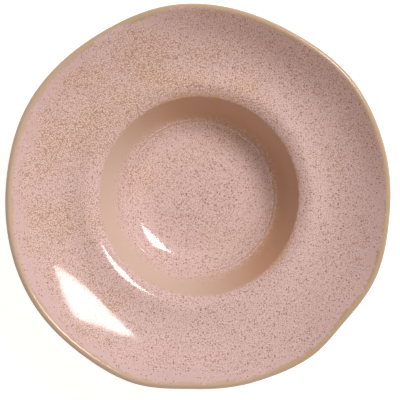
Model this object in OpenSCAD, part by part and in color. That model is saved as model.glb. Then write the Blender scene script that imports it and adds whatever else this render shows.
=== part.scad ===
// A wide-rimmed stoneware pasta bowl: a round well in the middle, a broad
// dished rim with a softly cornered outline, and a turned foot ring.
// The origin is at the middle of the foot ring, on the table. +Z is up.
// The clay is one fired piece. Each coat of glaze lies on it face to face.

/* [Rim] */
// Width of the bowl from lip to lip, glaze included
overall_w = 280; // [260:1:300]
// Rise of the rim from the brow round the well to the start of the lip
rim_rise = 19; // [15:0.5:21]
// Steepness of the rim where it meets the lip, in degrees
lip_slope = 34; // [30:1:38]
// Thickness of the clay in the wall and the rim
wall_t = 4.6; // [4:0.1:6]

/* [Well] */
// Radius of the brow, the level ring between the well and the rim
brow_r = 87.5; // [80:0.5:93]
// Width of the level strip on the brow
brow_flat_w = 5; // [3:0.5:6]
// Depth of the well from the brow to the floor
well_depth = 41.5; // [37:0.5:45]
// Width of the rounded shoulder, from the level strip in to the well's edge
shoulder_w = 11; // [9:0.5:13]
// Drop of the shoulder from the brow to the well's edge
shoulder_drop = 4.2; // [3:0.2:5]
// Steepness of the shoulder where it turns down into the well, in degrees
shoulder_slope = 36; // [30:1:42]
// Steepness of the wall just under the well's edge, in degrees
wall_slope = 66; // [58:1:72]
// Width of the wall seen from above, from the well's edge in to the crease
wall_w = 16.5; // [15:0.5:19]
// Steepness of the floor where it meets the wall at the crease, in degrees
crease_slope = 40; // [34:1:46]
// Width of the upturned border of the floor, from the crease in to the flat middle
border_w = 25.5; // [22:0.5:28]
// Rise of the upturned border from the flat middle to the crease
border_rise = 8.2; // [7:0.2:9.4]

/* [Base and foot] */
// Thickness of the clay in the middle of the base
base_t = 5.5; // [4.5:0.1:7]
// Height of the recess inside the foot ring
foot_h = 3.5; // [2.5:0.5:5]
// Distance from the crease in to the outer edge of the foot ring
foot_inset = 6; // [4:0.5:10]
// Width of the foot ring on the table
foot_w = 5.5; // [4.5:0.5:7]
// Slant of each side of the foot ring, from the table up to the base
foot_flare = 1.5; // [0.5:0.25:2]
// Chamfer on the two edges of the foot ring
foot_edge = 0.7; // [0.4:0.1:1]

/* [Glaze] */
// Thickness of a coat of glaze
glaze_t = 0.5; // [0.3:0.1:0.8]
// Width of the lip's own band of glaze next to the round of the lip, on both sides
lip_band_w = 2; // [1:0.5:4]
// Width of the clay left bare on either side of the foot ring
bare_w = 2; // [1:0.5:3]

/* [Hidden] */

// Turning points of the rim's outline, anticlockwise from +X, each as
// [angle in degrees, radius as a share of half the overall width]
outline_shares = [
    [-5, 0.995],
    [15, 0.998],
    [35, 1.003],
    [62, 0.982],
    [98, 1.004],
    [121, 0.991],
    [153, 1.008],
    [172, 1.001],
    [216, 1.023],
    [233, 1.019],
    [249, 1.026],
    [269, 0.998],
    [287, 1.004],
    [305, 1.015],
    [319, 0.998],
    [335, 1.011],
    [355, 0.995],
];

// Steps along each stretch of the section, round the lip and round the rim
border_steps = 8;
wall_steps = 7;
shoulder_steps = 5;
sweep_steps = 9;
rim_steps = 7;
lip_steps = 8;
rim_sides = 96;

// How far one solid runs into another where the two are joined
overrun = 1;

// Heights of the clay's upper side
floor_z = foot_h + base_t;
crease_z = floor_z + border_rise;
brow_z = floor_z + well_depth;
edge_z = brow_z - shoulder_drop;
lip_z = brow_z + rim_rise;

// The clay's upper side ends where the round of the lip starts
lip_r = wall_t / 2;
rim_r = overall_w / 2;
rim_end_r = rim_r - glaze_t - lip_r - lip_r * sin(lip_slope);
brow_in_r = brow_r - brow_flat_w / 2;
brow_out_r = brow_r + brow_flat_w / 2;

// Radii of the well and the foot, counted inwards from the brow
edge_r = brow_in_r - shoulder_w;
crease_r = edge_r - wall_w;
floor_r = crease_r - border_w;
foot_r = crease_r - foot_inset;
foot_in_r = foot_r - foot_w;

// Stations of the section, each [radius, height, steepness in degrees]
centre = [0, floor_z, 0];
floor_edge = [floor_r, floor_z, 0];
crease = [crease_r, crease_z, crease_slope];
wall_top = [edge_r, edge_z, wall_slope];
shoulder_foot = [edge_r, edge_z, shoulder_slope];
brow_in = [brow_in_r, brow_z, 0];
brow_join = [brow_r - overrun, brow_z, 0];
brow_mid = [brow_r, brow_z, 0];
brow_out = [brow_out_r, brow_z, 0];
rim_end = [rim_end_r, lip_z, lip_slope];

// Share of the rim's run at which the lip's own glaze starts
band_share = 1 - lip_band_w / (rim_end_r - brow_out_r);

// A share between 0 and 1, eased so that it starts and ends level
function ease(share) = let(s = min(max(share, 0), 1)) s * s * (3 - 2 * s);

// The smooth curve between two stations, at a share of the way
function station(a, b, s) =
    let(run = b[0] - a[0], rise = b[1] - a[1])
    let(start = run * tan(a[2]), end = run * tan(b[2]))
    let(z = a[1] + rise * s * s * (3 - 2 * s) + start * s * (1 - s) * (1 - s) + end * s * s * (s - 1))
    let(slope = 6 * rise * s * (1 - s) + start * (1 - s) * (1 - 3 * s) + end * s * (3 * s - 2))
    [a[0] + run * s, z, atan2(slope, run)];

function stretch(a, b, steps) = [for (i = [1:steps]) station(a, b, i / steps)];

// Clay thickness, from the base out to the wall
function clay_t(r) = base_t + (wall_t - base_t) * ease((r - floor_r) / (edge_r - floor_r));

// A point of the upper side, or of a coat of thickness d on it
function over(p, d) = [p[0] - d * sin(p[2]), p[1] + d * cos(p[2])];

// A point of the underside, or of a coat of thickness d on it
function under(p, d) = let(t = clay_t(p[0]) + d) [p[0] + t * sin(p[2]), p[1] - t * cos(p[2])];

// Two stations that share a place leave one point on the clay, and two on a coat
function over_path(stations, d) =
    let(points = [for (p = stations) over(p, d)])
    [for (i = [0:len(points) - 1]) if (i == 0 || points[i] != points[i - 1]) points[i]];
function under_path(stations, d) = [for (p = stations) under(p, d)];
function reversed(list) = [for (i = [len(list) - 1:-1:0]) list[i]];

// The round of the lip, from the upper side over to the underside
function lip_path(d) =
    let(c = under(rim_end, -lip_r))
    [for (i = [1:lip_steps - 1])
        let(a = 90 + lip_slope - 180 * i / lip_steps)
        [c[0] + (lip_r + d) * cos(a), c[1] + (lip_r + d) * sin(a)]];

// Stations of the round middle of the bowl. The eating side has a crisp edge at
// the top of the wall, and the underside sweeps past it in one curve.
bottom = concat([centre, floor_edge], stretch(floor_edge, crease, border_steps));
middle = concat(
    bottom,
    stretch(crease, wall_top, wall_steps),
    [shoulder_foot],
    stretch(shoulder_foot, brow_in, shoulder_steps),
    [brow_mid]
);
middle_under = concat(bottom, stretch(crease, brow_in, sweep_steps), [brow_mid]);

// Stations of the rim, up to the lip's band, and of the band
rim = concat([brow_join, brow_out], stretch(brow_out, station(brow_out, rim_end, band_share), rim_steps));
band = [rim[len(rim) - 1], rim_end];

// The part of an underside path between two radii, cut straight at both
function path_between(path, r1, r2) = concat(
    [[r1, lookup(r1, path)]],
    [for (p = path) if (p[0] > r1 && p[0] < r2) p],
    [[r2, lookup(r2, path)]]
);

// Radius of the rim's outline at an angle
function outline_r(angle, i = 0) =
    let(a = outline_shares[i], b = outline_shares[i + 1])
    angle > b[0]
        ? outline_r(angle, i + 1)
        : rim_r * (a[1] + (b[1] - a[1]) * ease((angle - a[0]) / (b[0] - a[0])));

// A section point turned to an angle, pushed in or out towards the outline
function rim_point(p, angle) =
    let(pull = ease((p[0] - brow_out_r) / (rim_end_r - brow_out_r)))
    let(r = p[0] + pull * (outline_r(angle) - rim_r))
    [r * cos(angle), r * sin(angle), p[1]];

// A closed section carried round the rim. Each four-sided patch is cut
// along the same diagonal, so that the coats meet the clay all over.
module rim_ring(section) {
    n = len(section);
    points = [
        for (k = [0:rim_sides - 1])
            let(angle = outline_shares[0][0] + 360 * k / rim_sides)
            for (p = section)
                rim_point(p, angle)
    ];
    faces = [
        for (k = [0:rim_sides - 1])
            for (i = [0:n - 1])
                let(j = (i + 1) % n, m = (k + 1) % rim_sides)
                let(a = k * n + i, b = k * n + j, c = m * n + j, d = m * n + i)
                each section[j][0] > section[i][0]
                    ? [[a, c, b], [a, d, c]]
                    : [[a, d, b], [b, d, c]]
    ];
    polyhedron(points, faces, convexity = 6);
}

// The foot ring, run up into the base
module foot_ring() {
    top_z = lookup(foot_r + foot_flare, under_path(middle_under, 0)) + overrun;
    rotate_extrude()
        polygon([
            [foot_in_r + foot_edge, 0],
            [foot_r - foot_edge, 0],
            [foot_r, foot_edge],
            [foot_r + foot_flare, top_z],
            [foot_in_r - foot_flare, top_z],
            [foot_in_r, foot_edge],
        ]);
}

module clay_body() {
    color("#c9b08f")
        union() {
            rotate_extrude()
                polygon(concat(over_path(middle, 0), reversed(under_path(middle_under, 0))));
            foot_ring();
            rim_ring(concat(
                over_path(rim, 0),
                [over(rim_end, 0)],
                lip_path(0),
                [under(rim_end, 0)],
                reversed(under_path(rim, 0))
            ));
        }
}

// The speckled coat on the eating side, up to the lip's own band
module face_glaze() {
    color("#cfa79d")
        union() {
            rotate_extrude()
                polygon(concat(over_path(middle, glaze_t), reversed(over_path(middle, 0))));
            rim_ring(concat(over_path(rim, glaze_t), reversed(over_path(rim, 0))));
        }
}

// The tan band over the round of the lip
module lip_glaze() {
    color("#c6a88a")
        rim_ring(concat(
            over_path(band, glaze_t),
            lip_path(glaze_t),
            reversed(under_path(band, glaze_t)),
            under_path(band, 0),
            reversed(lip_path(0)),
            reversed(over_path(band, 0))
        ));
}

// The coat under the rim and round the well, down to the bare strip at the foot
module underside_glaze() {
    start_r = foot_r + foot_flare + bare_w;
    clay_side = path_between(under_path(middle_under, 0), start_r, brow_r);
    outer_side = path_between(under_path(middle_under, glaze_t), start_r, brow_r);
    color("#cba89b")
        union() {
            rotate_extrude()
                polygon(concat(clay_side, reversed(outer_side)));
            rim_ring(concat(under_path(rim, 0), reversed(under_path(rim, glaze_t))));
        }
}

// The coat in the recess inside the foot ring
module base_glaze() {
    end_r = foot_in_r - foot_flare - bare_w;
    clay_side = path_between(under_path(middle_under, 0), 0, end_r);
    outer_side = path_between(under_path(middle_under, glaze_t), 0, end_r);
    color("#cba89b")
        rotate_extrude()
            polygon(concat(clay_side, reversed(outer_side)));
}

clay_body();
face_glaze();
lip_glaze();
underside_glaze();
base_glaze();
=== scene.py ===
# %% [markdown]
# # A speckled stoneware pasta bowl
# The bowl is one fired piece of clay under a glossy reactive glaze. This
# lesson first loads the measured model, which says how large everything is
# and where it stands. The visible skin is then turned on a potter's wheel in
# mesh code: one section line is spun round the middle, the rim is pushed out
# to its uneven outline, and each coat of glaze is a thin shell on the clay.

# %% Load the measured model
import math
from collections import namedtuple

import bmesh
import bpy
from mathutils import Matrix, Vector
from mathutils.geometry import interpolate_bezier


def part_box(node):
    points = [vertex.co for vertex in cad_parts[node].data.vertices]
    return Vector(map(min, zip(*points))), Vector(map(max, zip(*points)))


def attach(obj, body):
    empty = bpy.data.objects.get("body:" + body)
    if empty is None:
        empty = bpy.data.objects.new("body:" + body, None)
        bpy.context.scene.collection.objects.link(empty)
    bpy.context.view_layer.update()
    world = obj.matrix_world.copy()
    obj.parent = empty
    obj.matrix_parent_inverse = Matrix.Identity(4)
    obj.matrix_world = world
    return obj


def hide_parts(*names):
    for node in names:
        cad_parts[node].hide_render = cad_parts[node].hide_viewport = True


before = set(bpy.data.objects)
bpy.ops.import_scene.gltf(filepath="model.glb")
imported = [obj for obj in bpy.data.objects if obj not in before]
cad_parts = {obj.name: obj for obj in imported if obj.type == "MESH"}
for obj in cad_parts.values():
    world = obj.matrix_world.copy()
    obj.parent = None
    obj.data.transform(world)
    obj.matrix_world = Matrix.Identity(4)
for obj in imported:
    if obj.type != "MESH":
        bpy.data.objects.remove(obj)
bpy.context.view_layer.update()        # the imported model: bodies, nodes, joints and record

MM = 0.001
CM = 0.01

# %% [markdown]
# ## The section
# A turned bowl is known by its section: the line that a template held against
# the wheel would follow. Eight stations are enough. Each has a radius, a
# height and a steepness, and a Bezier curve joins it to the next. Two stations
# share the edge of the well with a steepness each, so the surface turns there,
# and it is smooth everywhere else. The heights start from the measured model,
# and the rest are the sizes that the measured model was made with.

# %% Stations of the section
Station = namedtuple("Station", "r z slope")

GLAZE_T = 0.5 * MM
WALL_T = 4.6 * MM
BASE_T = 5.5 * MM
RIM_R = 140 * MM
RIM_RISE = 19 * MM
LIP_SLOPE = math.radians(34)
BROW_R = 87.5 * MM
BROW_FLAT_W = 5 * MM
WELL_DEPTH = 41.5 * MM
SHOULDER_W = 11 * MM
SHOULDER_DROP = 4.2 * MM
SHOULDER_SLOPE = math.radians(36)
WALL_SLOPE = math.radians(66)
WALL_W = 16.5 * MM
CREASE_SLOPE = math.radians(40)
BORDER_W = 25.5 * MM
BORDER_RISE = 8.2 * MM

floor_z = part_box("face_glaze")[0].z
brow_z = floor_z + WELL_DEPTH
brow_in_r = BROW_R - BROW_FLAT_W / 2
brow_out_r = BROW_R + BROW_FLAT_W / 2
edge_r = brow_in_r - SHOULDER_W
crease_r = edge_r - WALL_W
floor_r = crease_r - BORDER_W
lip_radius = WALL_T / 2
rim_end_r = RIM_R - GLAZE_T - lip_radius * (1 + math.sin(LIP_SLOPE))

centre = Station(0, floor_z, 0)
floor_edge = Station(floor_r, floor_z, 0)
crease = Station(crease_r, floor_z + BORDER_RISE, CREASE_SLOPE)
wall_top = Station(edge_r, brow_z - SHOULDER_DROP, WALL_SLOPE)
shoulder = Station(edge_r, brow_z - SHOULDER_DROP, SHOULDER_SLOPE)
brow_in = Station(brow_in_r, brow_z, 0)
brow_out = Station(brow_out_r, brow_z, 0)
rim_end = Station(rim_end_r, brow_z + RIM_RISE, LIP_SLOPE)
print("floor at", round(floor_z / MM, 2), "mm, brow at", round(brow_z / MM, 2), "mm")

# %% From stations to a line of points
def curve(start, end, steps):
    """Points of the smooth curve between two stations, without the first."""
    third = (end.r - start.r) / 3
    knots = [
        Vector((start.r, start.z)),
        Vector((start.r + third, start.z + third * math.tan(start.slope))),
        Vector((end.r - third, end.z - third * math.tan(end.slope))),
        Vector((end.r, end.z)),
    ]
    return interpolate_bezier(*knots, steps + 1)[1:]


def path(*stretches):
    """One line of points through several stretches, from the middle outwards."""
    points = [Vector((centre.r, centre.z))]
    for start, end, steps in stretches:
        points += curve(start, end, steps)
    return points


floor_part = ((centre, floor_edge, 8), (floor_edge, crease, 22))
rim_part = ((brow_in, brow_out, 4), (brow_out, rim_end, 44))
upper = path(*floor_part, (crease, wall_top, 26), (shoulder, brow_in, 14), *rim_part)
print(len(upper), "points from the middle of the floor to the lip")

# %% [markdown]
# The potter's tool left a fine ridge at the crease, where the wall rises from
# the floor. It is only a hair high, yet it catches the light as a thin line.
# The line of points is too coarse for it, so more are put in near the crease.

# %% A ridge at the crease
RIDGE_R = crease_r + 0.2 * MM
RIDGE_H = 0.42 * MM
RIDGE_W = 0.5 * MM
RIDGE_REACH = 4 * RIDGE_W
RIDGE_STEP = 0.15 * MM


def with_ridge(points):
    """The line with finer points near the crease, raised to a small ridge."""
    finer = points[:1]
    for a, b in zip(points, points[1:]):
        near = min(abs(a.x - RIDGE_R), abs(b.x - RIDGE_R)) < RIDGE_REACH
        parts = math.ceil((b - a).length / RIDGE_STEP) if near else 1
        finer += [a.lerp(b, i / parts) for i in range(1, parts + 1)]
    for point in finer:
        point.y += RIDGE_H * math.exp(-((point.x - RIDGE_R) / RIDGE_W) ** 2 / 2)
    return finer


upper = with_ridge(upper)
print(len(upper), "points with the ridge")

# %% [markdown]
# The underside follows the upper side, without the turn at the well's edge, at
# the thickness of the clay, square to the surface, as a potter's ribs leave it.
# The base is a little thicker than the wall. The lip is a half circle that
# joins the two sides.

# %% The lip and the underside
LIP_STEPS = 14


def eased(share):
    """A share held between 0 and 1 that starts and ends level."""
    share = min(max(share, 0), 1)
    return share * share * (3 - 2 * share)


def square_to(line, i):
    """The upward direction square to a line at one of its points."""
    along = line[min(i + 1, len(line) - 1)] - line[max(i - 1, 0)]
    if i == 0:
        return Vector((0, 1))
    if i == len(line) - 1:
        return Vector((-math.sin(LIP_SLOPE), math.cos(LIP_SLOPE)))
    return Vector((-along.y, along.x)).normalized()


def clay_t(r):
    """Thickness of the clay at a radius: the base's at the floor, the wall's further out."""
    return BASE_T + (WALL_T - BASE_T) * eased((r - floor_r) / (edge_r - floor_r))


smooth = path(*floor_part, (crease, brow_in, 32), *rim_part)
under = [point - square_to(smooth, i) * clay_t(point.x) for i, point in enumerate(smooth)]
lip_centre = (upper[-1] + under[-1]) / 2
lip = []
for step in range(1, LIP_STEPS):
    angle = math.pi / 2 + LIP_SLOPE - math.pi * step / LIP_STEPS
    lip.append(lip_centre + lip_radius * Vector((math.cos(angle), math.sin(angle))))
print("lip centre at", round(lip_centre.x / MM, 1), "mm out,", round(lip_centre.y / MM, 1), "mm up")

# %% [markdown]
# The bowl stands on a foot ring, turned from the same clay. It breaks the
# underside's line: down its outer side, across the face that meets the table,
# and up its inner side to the recess.

# %% The foot ring
FOOT_INSET = 6 * MM
FOOT_W = 5.5 * MM
FOOT_FLARE = 1.5 * MM
FOOT_EDGE = 0.7 * MM
foot_r = crease_r - FOOT_INSET
foot_in_r = foot_r - FOOT_W


def height_at(line, r):
    """The height of a line at a radius."""
    for a, b in zip(line, line[1:]):
        if a.x <= r <= b.x:
            return a.y + (b.y - a.y) * (r - a.x) / (b.x - a.x)


foot_out_top = Vector((foot_r + FOOT_FLARE, height_at(under, foot_r + FOOT_FLARE)))
foot_in_top = Vector((foot_in_r - FOOT_FLARE, height_at(under, foot_in_r - FOOT_FLARE)))
foot = [
    foot_out_top,
    Vector((foot_r, FOOT_EDGE)),
    Vector((foot_r - FOOT_EDGE, 0)),
    Vector((foot_in_r + FOOT_EDGE, 0)),
    Vector((foot_in_r, FOOT_EDGE)),
    foot_in_top,
]
outer_under = [p for p in reversed(under) if p.x > foot_out_top.x]
recess = [p for p in reversed(under) if p.x < foot_in_top.x]
section = upper + lip + outer_under + foot + recess
print(len(section), "points in the whole section")

# %% [markdown]
# ## Turn the section
# The line becomes a wire of vertices and edges, and the spin operator carries
# it round the vertical axis. Before the spin each vertex is given its run, the
# distance along the section from the middle of the floor. The spin copies it,
# so that a finish can later follow the surface and not only the height.

# %% Spin the clay
SIDES = 320
SAME_SPOT = 0.001 * MM


def turn(bm, sides):
    """Carry a wire of vertices and edges round the vertical axis."""
    bmesh.ops.spin(
        bm, geom=bm.verts[:] + bm.edges[:], cent=(0, 0, 0), axis=(0, 0, 1), dvec=(0, 0, 0),
        angle=math.tau, steps=sides, use_merge=True, use_duplicate=False,
    )
    bmesh.ops.remove_doubles(bm, verts=bm.verts, dist=SAME_SPOT)


def spun(points):
    """A closed turned body whose section runs from the axis back to the axis."""
    bm = bmesh.new()
    run_layer = bm.verts.layers.float.new("run")
    run = 0
    last = None
    for point in points:
        vert = bm.verts.new((point.x, 0, point.y))
        if last:
            run += (vert.co - last.co).length
            bm.edges.new((last, vert))
        vert[run_layer] = run
        last = vert
    turn(bm, SIDES)
    bmesh.ops.recalc_face_normals(bm, faces=bm.faces)
    return bm


def volume_cm3(bm):
    """Volume that a closed mesh holds."""
    return bm.calc_volume(signed=True) / CM ** 3


clay = spun(section)
print(len(clay.faces), "faces, volume", round(volume_cm3(clay)), "cm3")

# %% [markdown]
# ## Push the rim out to its outline
# Seen from above the rim isn't round: soft corners and flats follow each
# other, as when a thrown plate is eased outwards by hand in a few places. The
# outline is a short list of turning points, each with an angle and a share of
# the rim's radius, and the radius eases from one to the next. The well stays
# round, so the push fades out towards the brow.

# %% The outline of the rim
OUTLINE_SHARES = [
    (-5, 0.995), (15, 0.998), (35, 1.003), (62, 0.982), (98, 1.004), (121, 0.991),
    (153, 1.008), (172, 1.001), (216, 1.023), (233, 1.019), (249, 1.026), (269, 0.998),
    (287, 1.004), (305, 1.015), (319, 0.998), (335, 1.011), (355, 0.995),
]


def outline_r(angle):
    """Radius of the rim's outline at an angle in degrees."""
    first = OUTLINE_SHARES[0][0]
    angle = (angle - first) % 360 + first
    for (a, share_a), (b, share_b) in zip(OUTLINE_SHARES, OUTLINE_SHARES[1:]):
        if a <= angle <= b:
            return RIM_R * (share_a + (share_b - share_a) * eased((angle - a) / (b - a)))


for vert in clay.verts:
    r = math.hypot(vert.co.x, vert.co.y)
    if r > brow_out_r:
        pull = eased((r - brow_out_r) / (rim_end_r - brow_out_r))
        angle = math.degrees(math.atan2(vert.co.y, vert.co.x))
        pushed = (r + pull * (outline_r(angle) - RIM_R)) / r
        vert.co.x *= pushed
        vert.co.y *= pushed
rim_radii = [outline_r(angle) for angle in range(360)]
print("rim from", round(min(rim_radii) / MM, 1), "to", round(max(rim_radii) / MM, 1), "mm")

# %% [markdown]
# ## Pieces and coats
# On the real bowl the glaze is a glassy film about half a millimetre thick.
# Each coat starts as a copy of the clay's own faces between two runs, which
# the solidify operator thickens outwards. So a coat fits the clay exactly,
# and its edge stands proud of the bare clay by the foot, as a real one does.

# %% Helpers for pieces
SHARP = math.radians(40)
SLACK = 0.01 * MM


def run_of(point):
    """Run of a point of the section, from the middle of the floor."""
    i = section.index(point)
    return sum((b - a).length for a, b in zip(section[:i], section[1:i + 1]))


def coat_between(low, high):
    """A shell of glaze over the clay's faces between two runs."""
    bm = clay.copy()
    layer = bm.verts.layers.float["run"]
    outside = []
    for face in bm.faces:
        runs = [vert[layer] for vert in face.verts]
        if min(runs) < low - SLACK or max(runs) > high + SLACK:
            outside.append(face)
    bmesh.ops.delete(bm, geom=outside, context="FACES")
    bmesh.ops.solidify(bm, geom=bm.faces[:], thickness=-GLAZE_T)
    bmesh.ops.reverse_faces(bm, faces=bm.faces[:])
    return bm


def added(name, data):
    """Put a mesh, a lamp or a camera in the scene as an object."""
    thing = bpy.data.objects.new(name, data)
    bpy.context.scene.collection.objects.link(thing)
    return thing


def place(bm, name, node):
    """Make a bmesh a smooth piece that stands for a node of the measured model."""
    for face in bm.faces:
        face.smooth = True
    for edge in bm.edges:
        edge.smooth = len(edge.link_faces) == 2 and edge.calc_face_angle() < SHARP
    mesh = bpy.data.meshes.new(name)
    bm.to_mesh(mesh)
    piece = added(name, mesh)
    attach(piece, "root")
    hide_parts(node)
    triangles = sum(len(face.verts) - 2 for face in bm.faces)
    print(name, "-", triangles, "triangles,", round(volume_cm3(bm), 1), "cm3")
    return piece


# %% Make the pieces
LIP_BAND_RINGS = 2       # rings of faces that the tan lip reaches past the round
BARE_W = 2 * MM

band_top = run_of(upper[-1 - LIP_BAND_RINGS])
band_bottom = run_of(outer_under[LIP_BAND_RINGS])
bare_out = run_of([p for p in outer_under if p.x > foot_out_top.x + BARE_W][-1])
bare_in = run_of([p for p in recess if p.x < foot_in_top.x - BARE_W][0])
section_end = run_of(section[-1])

fired_clay = place(clay, "fired_clay", "clay_body")
speckled_coat = place(coat_between(0, band_top), "speckled_coat", "face_glaze")
tan_lip = place(coat_between(band_top, band_bottom), "tan_lip", "lip_glaze")
outer_coat = place(
    coat_between(band_bottom, bare_out), "outer_coat", "underside_glaze"
)
recess_coat = place(
    coat_between(bare_in, section_end), "recess_coat", "base_glaze"
)

# %% [markdown]
# ## Where the glaze changes
# The glaze is one recipe all over: a pink, speckled coat where it lies thick.
# It breaks to a plain tan where it runs thin, which is on the steep wall of
# the well and over the lip. Each effect is a node group of its own, built once
# and placed in every coat: the net, the clouds, the rings, and the ripple that
# potters call orange peel.

# %% Helpers for node groups
NOISE_LOW = 0.3          # most values of a noise lie between these two
NOISE_HIGH = 0.7


def new_group(name, takes, gives):
    """A node group, with its inputs and its outputs as sockets to wire inside it."""
    group = bpy.data.node_groups.new(name, "ShaderNodeTree")
    for label, kind, value in takes:
        socket = group.interface.new_socket(
            name=label, in_out="INPUT", socket_type="NodeSocket" + kind
        )
        if value is not None:
            socket.default_value = value
    for label, kind in gives:
        group.interface.new_socket(name=label, in_out="OUTPUT", socket_type="NodeSocket" + kind)
    taken = group.nodes.new("NodeGroupInput").outputs
    given = group.nodes.new("NodeGroupOutput").inputs
    return group, taken, given


def wire(tree, kind, settings=None, **sockets):
    """Add a node, set its fields, then fill its inputs with values or links.

    An input goes by its name, or by its number as i0, i1 and so on.
    """
    node = tree.nodes.new("ShaderNode" + kind)
    for field, value in (settings or {}).items():
        setattr(node, field, value)
    for label, value in sockets.items():
        numbered = label[0] == "i" and label[1:].isdigit()
        socket = node.inputs[int(label[1:]) if numbered else label.replace("_", " ")]
        if isinstance(value, bpy.types.NodeSocket):
            tree.links.new(value, socket)
        else:
            socket.default_value = value
    return node


def maths(tree, operation, a, b):
    """Two values joined by an operation."""
    return wire(tree, "Math", {"operation": operation}, i0=a, i1=b).outputs["Value"]


def shifted(tree, share, by, start):
    """A start, shifted by a share of an amount."""
    node = wire(tree, "Math", {"operation": "MULTIPLY_ADD"}, i0=share, i1=by, i2=start)
    return node.outputs["Value"]


def even_range(tree, value, low, high, to_low, to_high):
    """A value carried evenly from one range to another."""
    node = wire(tree, "MapRange", Value=value,
                From_Min=low, From_Max=high, To_Min=to_low, To_Max=to_high)
    return node.outputs["Result"]


def smooth_range(tree, value, low, high, to_low=0.0, to_high=1.0):
    """A value eased from one range to another."""
    node = wire(tree, "MapRange", {"interpolation_type": "SMOOTHSTEP"}, Value=value,
                From_Min=low, From_Max=high, To_Min=to_low, To_Max=to_high)
    return node.outputs["Result"]


def faded(tree, past, blur):
    """1 inside a border and 0 past it."""
    return smooth_range(tree, past, -blur, blur, 1.0, 0.0)


def noise(tree, position, scale, detail, roughness=0.5, distortion=0.0):
    """A cloudy value that changes over the surface."""
    node = wire(tree, "TexNoise", Vector=position, Scale=scale, Detail=detail,
                Roughness=roughness, Distortion=distortion)
    return node.outputs["Fac"]


def scaled(tree, position, scale):
    """A position times a scale."""
    node = wire(tree, "VectorMath", {"operation": "SCALE"}, i0=position, Scale=scale)
    return node.outputs["Vector"]


def toward(tree, position, side):
    """How far a position lies towards a side, times the length of that side."""
    node = wire(tree, "VectorMath", {"operation": "DOT_PRODUCT"}, i0=position, i1=side)
    return node.outputs["Value"]


print("helpers ready")

# %% [markdown]
# **Net.** Up close the glaze is a net: pale cells of a millimetre or two, parted
# by thin brown threads of iron that bled up from the clay. A Voronoi texture
# gives the cells, and the distance to their edge gives the threads. A noise
# makes each thread thick here and thin there, until it breaks. A second, wider
# Voronoi texture sets round dark specks into it, from grains of iron in the
# clay. Each speck has a size of its own, and some are too small to show. The
# widths of threads and specks are shares of a cell.

# %% Group: net
NET_CELL = 1.4 * MM
THREAD_SCALE = 900.0
THIN_THREAD = 0.02
THICK_THREAD = 0.18
THREAD_BLUR = 0.06
SPECK_CELL = 1.8 * MM
SPECK_SPREAD = 0.85
SMALL_SPECK = -0.03
LARGE_SPECK = 0.31
SPECK_BLUR = 0.08

net, taken, given = new_group(
    "Net",
    [("Position", "Vector", None), ("Amount", "Float", 1.0)],
    [("Threads", "Float"), ("Specks", "Float")],
)


def cells_of(cell, feature, spread=1.0):
    """Outputs of a Voronoi texture with cells of a given size."""
    in_cells = scaled(net, taken["Position"], 1 / cell)
    node = wire(net, "TexVoronoi", {"feature": feature},
                Vector=in_cells, Scale=1.0, Randomness=spread)
    return node.outputs


uneven = noise(net, taken["Position"], THREAD_SCALE, 1.0)
uneven_w = even_range(net, uneven, NOISE_LOW, NOISE_HIGH, THIN_THREAD, THICK_THREAD)
thread_w = maths(net, "MULTIPLY", uneven_w, taken["Amount"])
cell_edges = cells_of(NET_CELL, "DISTANCE_TO_EDGE")
past_thread = maths(net, "SUBTRACT", cell_edges["Distance"], thread_w)
net.links.new(faded(net, past_thread, THREAD_BLUR), given["Threads"])

dots = cells_of(SPECK_CELL, "F1", SPECK_SPREAD)
chance = wire(net, "SeparateColor", Color=dots["Color"]).outputs["Red"]
speck_r = even_range(net, chance, 0.0, 1.0, SMALL_SPECK, LARGE_SPECK)
past_speck = maths(net, "SUBTRACT", dots["Distance"], speck_r)
net.links.new(faded(net, past_speck, SPECK_BLUR), given["Specks"])
print(net.name, "has", len(net.nodes), "nodes")

# %% [markdown]
# **Clouds.** Where the glaze lay a little thinner in the kiln, it turned ochre
# in soft patches, 20 to 50 mm wide. It lay thinner at the back left, so their
# cover leans that way.

# %% Group: clouds
CLOUD_SCALE = 20.0
CLOUD_DETAIL = 3.0
CLOUD_ROUGHNESS = 0.6
CLOUD_DISTORTION = 0.3
CLOUD_SOFTNESS = 0.4
UNCOVERED = 0.6          # with no cover, only noise above this turns to cloud
COVERING = -0.5          # and full cover lowers that by so much

clouds, taken, given = new_group(
    "Clouds",
    [("Position", "Vector", None), ("Cover", "Float", 0.35), ("Lean", "Vector", (0.0, 0.0, 0.0))],
    [("Clouds", "Float")],
)
patches = noise(clouds, taken["Position"], CLOUD_SCALE, CLOUD_DETAIL,
                CLOUD_ROUGHNESS, CLOUD_DISTORTION)
lean = toward(clouds, taken["Position"], taken["Lean"])
leaning_cover = maths(clouds, "ADD", taken["Cover"], lean)
cloud_from = shifted(clouds, leaning_cover, COVERING, UNCOVERED)
cloud_to = maths(clouds, "ADD", cloud_from, CLOUD_SOFTNESS)
clouds.links.new(smooth_range(clouds, patches, cloud_from, cloud_to), given["Clouds"])
print(clouds.name, "has", len(clouds.nodes), "nodes")

# %% [markdown]
# **Rings.** Molten glaze creeps down a steep wall, draws back from an edge and
# pools in a hollow. Each makes a ring round the bowl, and one group serves them
# all. A ring is measured along the section, by the run that the spin carried
# along. A slow noise lets its borders wander, and a fine one breaks them into
# grains. The inner and the outer border have a softness each.

# %% Group: ring
SWAY_SCALE = 28.0
SWAY_DETAIL = 3.0
SWAY_ROUGHNESS = 0.6
SWAY_LOW = 0.35
SWAY_HIGH = 0.65
GRAIN_SCALE = 650.0

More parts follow.
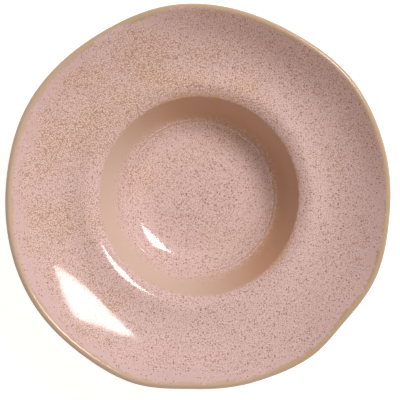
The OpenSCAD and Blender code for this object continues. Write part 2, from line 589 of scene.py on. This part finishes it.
ring, taken, given = new_group(
    "Ring",
    [
        ("Position", "Vector", None), ("Run", "Float", 0.0),
        ("Inner edge", "Float", 0.1), ("Outer edge", "Float", 0.2),
        ("Inner softness", "Float", 0.001), ("Outer softness", "Float", 0.001),
        ("Wander", "Float", 0.002),
    ],
    [("Ring", "Float")],
)
slow = noise(ring, taken["Position"], SWAY_SCALE, SWAY_DETAIL, SWAY_ROUGHNESS)
sway = even_range(ring, slow, SWAY_LOW, SWAY_HIGH, -1.0, 1.0)
fine = noise(ring, taken["Position"], GRAIN_SCALE, 1.0)
grains = even_range(ring, fine, NOISE_LOW, NOISE_HIGH, -1.0, 1.0)


def border(past, softness):
    """0 before a border and 1 past it, wandering and broken into grains."""
    wandering = shifted(ring, sway, taken["Wander"], past)
    grainy = shifted(ring, grains, softness, wandering)
    return smooth_range(ring, grainy, maths(ring, "MULTIPLY", softness, -1.0), softness)


past_inner = maths(ring, "SUBTRACT", taken["Run"], taken["Inner edge"])
past_outer = maths(ring, "SUBTRACT", taken["Outer edge"], taken["Run"])
inner = border(past_inner, taken["Inner softness"])
outer = border(past_outer, taken["Outer softness"])
ring.links.new(maths(ring, "MULTIPLY", inner, outer), given["Ring"])
print(ring.name, "has", len(ring.nodes), "nodes")

# %% [markdown]
# **Orange peel.** A glossy glaze is never quite flat. Ripples of about a
# millimetre fray the border of each highlight, and the threads dent it too.

# %% Group: orange peel
peel, taken, given = new_group(
    "Orange peel",
    [("Position", "Vector", None), ("Size", "Float", 0.001), ("Dents", "Float", 0.0)],
    [("Height", "Float")],
)
per_size = maths(peel, "DIVIDE", 1.0, taken["Size"])
ripple = noise(peel, scaled(peel, taken["Position"], per_size), 1.0, 1.0)
peel.links.new(maths(peel, "SUBTRACT", ripple, taken["Dents"]), given["Height"])
print(peel.name, "has", len(peel.nodes), "nodes")

# %% [markdown]
# ## The glazes
# One recipe serves every coat. The eating side, the lip and the underside take
# the same groups, with an amount of clouds of their own, and their own
# Principled shader.

# %% Colours of the glaze
def srgb(red, green, blue):
    """A colour as a paint chart gives it, 0 to 255, for a shader."""
    return tuple(
        (v / 255 / 12.92 if v <= 10 else ((v / 255 + 0.055) / 1.055) ** 2.4)
        for v in (red, green, blue)
    ) + (1.0,)


PINK = srgb(227, 195, 191)
LILAC = srgb(215, 183, 180)
# painted shade: the pool's colour on the back-right rim, which faces away from the lamp
SHADED_MAUVE = srgb(209, 175, 168)
CREAM = srgb(228, 197, 185)
THREAD = srgb(191, 156, 148)
# painted shade: the threads on that part of the rim
SHADED_THREAD = srgb(172, 134, 124)
RUST = srgb(182, 141, 118)
TAN = srgb(208, 182, 165)
# painted shade: the wall film's tan on the side where the wall faces away from the lamp
SHADED_TAN = srgb(204, 158, 124)
LIP_TAN = srgb(200, 170, 145)
# painted shade: the lip's tan on the side where it faces away from the lamp
SHADED_LIP_TAN = srgb(188, 159, 130)
SPECK = srgb(138, 100, 88)
print("pink, as a shader takes it:", [round(v, 3) for v in PINK[:3]])

# %% [markdown]
# Two masks grow from 0 to 1 towards the back right, the side of the panel lamp.
# There the wall, the lip and the rim face away from the lamp, and the masks paint
# shade on them. They also move some borders of the rings.
# Four rings mark where the glaze moved, each from an inner to an outer run, with
# two softnesses and a wander for its borders:
#
# - `film`: it ran off the steep wall of the well and left a thin tan film. On
#   the shaded side the tan is darker, which is painted shade. There the film
#   also creeps further in over the floor, as a painted shadow, and its outer
#   edge reaches further out;
# - `band`: it drew back from the lip, which shows tan, darker on the shaded
#   side as painted shade;
# - `pool`: just inside the lip it pooled, lilac and with a finer net. At the
#   back right the pool is wider and mauve, with darker threads: painted shade
#   on the rim, which faces away from the lamp there;
# - `hollow`: it pooled a little round the border of the floor as well.

# %% Where the glaze moved, and where shade is painted
Borders = namedtuple("Borders", "soft_in soft_out wander")

# towards the back right, the lamp's side, where the wall and the lip face away from the lamp:
# painted shade there, and some ring borders move
SHADED_SIDE = (0.866, 0.5, 0.0)
SHADED_SIDE_FROM = -50 * MM
SHADED_SIDE_TO = 30 * MM
# towards the back right, where the rim by the lip faces away from the lamp: painted shade there
RIM_SHADE_SIDE = (0.616, 0.788, 0.0)
RIM_SHADE_FROM = 60 * MM
RIM_SHADE_TO = 115 * MM

FILM = Borders(6 * MM, 2.6 * MM, 1.5 * MM)
FILM_PAST_CREASE = 8 * MM
FILM_SHORT_OF_EDGE = 2 * MM
# on the shaded side the film creeps in over the floor as a painted shadow
SHADOW_CREEP = -6 * MM
SHADED_SIDE_EBB = 3 * MM

BAND = Borders(1 * MM, 0.5 * MM, 1.4 * MM)
BAND_HALF = 4.6 * MM
SHADED_SIDE_BAND = 1 * MM

POOL = Borders(4 * MM, 1 * MM, 6 * MM)
POOL_W = 13 * MM
POOL_PAST_LIP = 6 * MM
SHADED_SIDE_POOL = 6 * MM
RIM_SHADE_POOL = -20 * MM
RIM_SHADE_SOFTNESS = 8 * MM

HOLLOW = Borders(5 * MM, 3 * MM, 3 * MM)
HOLLOW_FROM = 32 * MM
HOLLOW_TO = 51 * MM


def run_at(radius):
    """The run of the point of the upper line nearest to a radius."""
    return run_of(min(upper, key=lambda point: abs(point.x - radius)))


film_start = run_at(crease_r) + FILM_PAST_CREASE
film_end = run_at(edge_r) - FILM_SHORT_OF_EDGE
lip_middle = run_of(upper[-1]) + math.pi * lip_radius / 2
print("wall film from", round(film_start / MM), "to", round(film_end / MM), "mm along the section")


def call(tree, group, **sockets):
    """Place a group in a material and fill its inputs."""
    return wire(tree, "Group", {"node_tree": group}, **sockets).outputs


def rings_of(tree, where, shaded_side, rim_shade):
    """The masks of the film, the band, the pool and the hollow."""
    run = wire(tree, "Attribute", {"attribute_name": "run"}).outputs["Fac"]

    def ring_of(start, end, borders):
        """The mask of one ring, between two runs."""
        return call(tree, ring, Position=where, Run=run, Inner_edge=start, Outer_edge=end,
                    Inner_softness=borders.soft_in, Outer_softness=borders.soft_out,
                    Wander=borders.wander)["Ring"]

    # the film creeps in over the floor on the shaded side: painted shadow
    film_from = shifted(tree, shaded_side, SHADOW_CREEP, film_start)
    film_to = shifted(tree, shaded_side, SHADED_SIDE_EBB, film_end)
    band_from = shifted(tree, shaded_side, SHADED_SIDE_BAND, lip_middle - BAND_HALF)
    pool_from = shifted(tree, shaded_side, SHADED_SIDE_POOL, lip_middle - POOL_W)
    # the painted shade on the rim reaches further in at the back right, with a softer inner border
    pool_from = shifted(tree, rim_shade, RIM_SHADE_POOL, pool_from)
    rim_shading = POOL._replace(soft_in=shifted(tree, rim_shade, RIM_SHADE_SOFTNESS, POOL.soft_in))
    return (
        ring_of(film_from, film_to, FILM),
        ring_of(band_from, lip_middle + BAND_HALF, BAND),
        ring_of(pool_from, lip_middle + POOL_PAST_LIP, rim_shading),
        ring_of(HOLLOW_FROM, HOLLOW_TO, HOLLOW),
    )


# %% [markdown]
# A coat takes its colour in layers: the pale ground, the threads, the specks,
# the film and the band. The threads are finer where the glaze is thick, and wider
# in the clouds, where the specks fade. Its surface ripples, though hardly on the
# band, and the threads dent it where neither the film nor the band covers them.

# %% The glaze as a recipe
OCHRE_LEAN = (-2.0, 2.2, 0.0)
POOL_THICKNESS = 0.85
# where shade is painted on the rim, the pool keeps more of its threads
RIM_SHADE_THINNING = -0.6
HOLLOW_THICKNESS = 0.25
NET_AMOUNT = 0.9
NET_IN_CLOUDS = 0.35
SPECKS_IN_CLOUDS = -0.6
DENT = 0.2
PEEL_SIZE = 1.1 * MM
PEEL_ON_BAND = -0.85
PEEL_STRENGTH = 0.35
PEEL_H = 0.06 * MM
GLASSY = {"Roughness": 0.045, "IOR": 1.5, "Coat Weight": 0.45, "Coat Roughness": 0.6}


def mix(tree, share, first, second):
    """A colour between two, by a share from 0 to 1."""
    node = wire(tree, "Mix", {"data_type": "RGBA"}, Factor=share, i6=first, i7=second)
    return node.outputs[2]


def new_material(name):
    """A material that is made of nodes, and its node tree."""
    material = bpy.data.materials.new(name)
    material.use_nodes = True
    return material, material.node_tree


def dress(tree, colour, height, strength, distance, settings):
    """Give a tree's Principled shader its colour, bump and settings."""
    shader = tree.nodes["Principled BSDF"]
    tree.links.new(colour, shader.inputs["Base Color"])
    bump = wire(tree, "Bump", Strength=strength, Distance=distance, Height=height)
    tree.links.new(bump.outputs["Normal"], shader.inputs["Normal"])
    for label, value in settings.items():
        shader.inputs[label].default_value = value


def glaze(name, cover):
    """A coat of the reactive glaze as a material."""
    material, tree = new_material(name)
    where = wire(tree, "TexCoord").outputs["Object"]
    # painted shade towards the lamp's side, where the wall and the lip face away from it
    shaded_side = smooth_range(tree, toward(tree, where, SHADED_SIDE), SHADED_SIDE_FROM, SHADED_SIDE_TO)
    # painted shade on the rim by the lip at the back right
    rim_shade = smooth_range(tree, toward(tree, where, RIM_SHADE_SIDE), RIM_SHADE_FROM, RIM_SHADE_TO)
    film, band, pool, hollow = rings_of(tree, where, shaded_side, rim_shade)
    patch = call(tree, clouds, Position=where, Cover=cover, Lean=OCHRE_LEAN)["Clouds"]

    # where shade is painted on the rim the pool thins the net less
    pooled = maths(tree, "MULTIPLY", pool, shifted(tree, rim_shade, RIM_SHADE_THINNING, POOL_THICKNESS))
    thick = maths(tree, "MAXIMUM", pooled, maths(tree, "MULTIPLY", hollow, HOLLOW_THICKNESS))
    thin = maths(tree, "SUBTRACT", 1.0, thick)
    netted = maths(tree, "MULTIPLY", thin, shifted(tree, patch, NET_IN_CLOUDS, NET_AMOUNT))
    iron = call(tree, net, Position=where, Amount=netted)
    dotted = maths(tree, "MULTIPLY", iron["Specks"], shifted(tree, patch, SPECKS_IN_CLOUDS, 1.0))

    # the pale ground turns mauve and the threads darker where shade is painted on the rim
    pale = mix(tree, pool, mix(tree, patch, PINK, CREAM), mix(tree, rim_shade, LILAC, SHADED_MAUVE))
    shaded_pool = maths(tree, "MULTIPLY", pool, rim_shade)
    brown = mix(tree, shaded_pool, mix(tree, patch, THREAD, RUST), SHADED_THREAD)
    colour = mix(tree, iron["Threads"], pale, brown)
    colour = mix(tree, dotted, colour, SPECK)
    # the wall film's tan, darker on the shaded side as painted shade
    colour = mix(tree, film, colour, mix(tree, shaded_side, TAN, SHADED_TAN))
    # the lip's tan, darker on the shaded side as painted shade
    colour = mix(tree, band, colour, mix(tree, shaded_side, LIP_TAN, SHADED_LIP_TAN))

    uncovered = maths(tree, "SUBTRACT", 1.0, maths(tree, "MAXIMUM", film, band))
    bare_threads = maths(tree, "MULTIPLY", iron["Threads"], uncovered)
    dents = maths(tree, "MULTIPLY", bare_threads, DENT)
    rippled = call(tree, peel, Position=where, Size=PEEL_SIZE, Dents=dents)["Height"]
    height = maths(tree, "MULTIPLY", rippled, shifted(tree, band, PEEL_ON_BAND, 1.0))
    dress(tree, colour, height, PEEL_STRENGTH, PEEL_H, GLASSY)
    print(name, "has", len(tree.nodes), "nodes")
    return material


# %% Glaze the coats
FACE_CLOUDS = 0.35
UNDER_CLOUDS = 0.5

speckled_coat.data.materials.append(glaze("Speckled pink glaze", FACE_CLOUDS))
tan_lip.data.materials.append(glaze("Tan lip glaze", FACE_CLOUDS))
under_finish = glaze("Outer glaze", UNDER_CLOUDS)
for coat in (outer_coat, recess_coat):
    coat.data.materials.append(under_finish)

# %% [markdown]
# ## The bare clay
# The foot is wiped clean before the firing, so that the bowl doesn't stick to
# the kiln shelf. It shows dry, warm buff stoneware with iron specks.

# %% Fired clay
BUFF = srgb(202, 178, 148)
DARK_BUFF = srgb(184, 157, 127)
IRON = srgb(112, 84, 62)
CLAY_NET = 0.5
CLAY_SPECKS = 0.5
PIT = 0.4
CLAY_GRAIN = 0.4 * MM
CLAY_BUMP = 0.5
CLAY_BUMP_H = 0.1 * MM

clay_finish, tree = new_material("Fired stoneware")
where = wire(tree, "TexCoord").outputs["Object"]
iron = call(tree, net, Position=where, Amount=CLAY_NET)
colour = mix(tree, iron["Threads"], BUFF, DARK_BUFF)
colour = mix(tree, maths(tree, "MULTIPLY", iron["Specks"], CLAY_SPECKS), colour, IRON)
pits = maths(tree, "MULTIPLY", iron["Specks"], PIT)
height = call(tree, peel, Position=where, Size=CLAY_GRAIN, Dents=pits)["Height"]
dress(tree, colour, height, CLAY_BUMP, CLAY_BUMP_H, {"Roughness": 0.85})
fired_clay.data.materials.append(clay_finish)
print(clay_finish.name, "has", len(tree.nodes), "nodes")

# %% [markdown]
# ## Floor, light and camera
# The photograph is a packshot from straight above on pure white. The floor is
# a sheet of white paper that curves up into a low wall all round, as in a
# small studio. Where the camera or a reflection sees the paper it glows with
# most of its white, and its plain diffuse adds the rest and takes a soft shadow.

# %% Paper
PAPER_R = 4.0
CURVE_R = 0.4
PAPER_H = 1.5
CURVE_STEPS = 8
PAPER_SIDES = 64

bm = bmesh.new()
verts = [bm.verts.new((0, 0, 0))]
for step in range(CURVE_STEPS + 1):
    angle = math.pi / 2 * step / CURVE_STEPS
    out = PAPER_R - CURVE_R + CURVE_R * math.sin(angle)
    verts.append(bm.verts.new((out, 0, CURVE_R - CURVE_R * math.cos(angle))))
verts.append(bm.verts.new((PAPER_R, 0, PAPER_H)))
for pair in zip(verts, verts[1:]):
    bm.edges.new(pair)
turn(bm, PAPER_SIDES)
for face in bm.faces:
    face.smooth = True
paper_mesh = bpy.data.meshes.new("paper")
bm.to_mesh(paper_mesh)
paper = added("paper", paper_mesh)

# %% The white of the paper
PAPER_GLOW = 0.83
PAPER_GREY = 0.72

white, tree = new_material("White paper")
tree.nodes.remove(tree.nodes["Principled BSDF"])
rays = wire(tree, "LightPath").outputs
mirrored = maths(tree, "MAXIMUM", rays["Is Glossy Ray"], rays["Is Transmission Ray"])
seen = maths(tree, "MAXIMUM", rays["Is Camera Ray"], mirrored)
strength = maths(tree, "MULTIPLY", seen, PAPER_GLOW)
glow = wire(tree, "Emission", Color=(1.0, 1.0, 1.0, 1.0), Strength=strength)
dull = wire(tree, "BsdfDiffuse", Color=(PAPER_GREY, PAPER_GREY, PAPER_GREY, 1.0))
both = wire(tree, "AddShader", i0=glow.outputs[0], i1=dull.outputs[0])
tree.links.new(both.outputs[0], tree.nodes["Material Output"].inputs["Surface"])
paper.data.materials.append(white)
print("paper", 2 * PAPER_R, "m wide")

# %% [markdown]
# A large rectangular panel hangs high up at the back right and is turned to the
# bowl. The glaze mirrors it as a bright shape on each slope that faces it. A
# little under half of its light comes from a twin that reflections don't show,
# which keeps those shapes from glaring. A weak, wide lamp at the front opens up
# the shadows, and the dim room adds an even warm fill.

# %% Light
PANEL_SPOT = Vector((1.35, 1.37, 2.6))
PANEL_ANGLES = [math.radians(angle) for angle in (-46, 57, -25)]
PANEL_W = 1.29
PANEL_D = 0.94
PANEL_POWER = 112.0
GLOSS_SHARE = 0.56
FILL_AWAY = 3.0
FILL_SIDE = math.radians(-72)
FILL_UP = math.radians(32)
FILL_W = 1.6
FILL_POWER = 9.0
ROOM = 0.2
ROOM_COLOUR = (1.0, 0.82, 0.64, 1.0)


def lamp(name, width, depth, power, spot, angles, mirrored):
    """A flat lamp. Only a mirrored one shows in reflections."""
    light = bpy.data.lights.new(name, "AREA")
    light.shape = "RECTANGLE"
    light.size = width
    light.size_y = depth
    light.energy = power
    holder = added(name, light)
    holder.location = spot
    holder.rotation_euler = angles
    holder.visible_glossy = mirrored


panel = (PANEL_SPOT, PANEL_ANGLES)
lamp("panel", PANEL_W, PANEL_D, PANEL_POWER * GLOSS_SHARE, *panel, True)
lamp("panel_twin", PANEL_W, PANEL_D, PANEL_POWER * (1 - GLOSS_SHARE), *panel, False)
level = math.cos(FILL_UP)
away = Vector((math.cos(FILL_SIDE) * level, math.sin(FILL_SIDE) * level, math.sin(FILL_UP)))
facing_bowl = away.to_track_quat("Z", "Y").to_euler()
lamp("fill", FILL_W, FILL_W, FILL_POWER, away * FILL_AWAY, facing_bowl, False)

world = bpy.data.worlds.new("room")
world.use_nodes = True
background = world.node_tree.nodes["Background"]
background.inputs["Color"].default_value = ROOM_COLOUR
background.inputs["Strength"].default_value = ROOM
bpy.context.scene.world = world
print("panel", PANEL_W, "by", PANEL_D, "m")

# %% [markdown]
# The camera looks straight down from 1.6 m, a hair off the middle. Its lens
# follows from the width of the picture at the height of the lip.

# %% Camera
PIXEL = 0.7254 * MM
FRAME_PIXELS = 400
SENSOR_W = 36
CAMERA_H = 1.6
CAMERA_X = 1.3 * PIXEL
CAMERA_Y = -3.4 * PIXEL

camera = bpy.data.cameras.new("camera")
camera.sensor_width = SENSOR_W
camera.lens = SENSOR_W * (CAMERA_H - lip_centre.y) / (FRAME_PIXELS * PIXEL)
eye = added("camera", camera)
eye.location = (CAMERA_X, CAMERA_Y, CAMERA_H)
bpy.context.scene.camera = eye
bpy.context.scene.view_settings.view_transform = "Standard"
print("lens", round(camera.lens, 1), "mm")
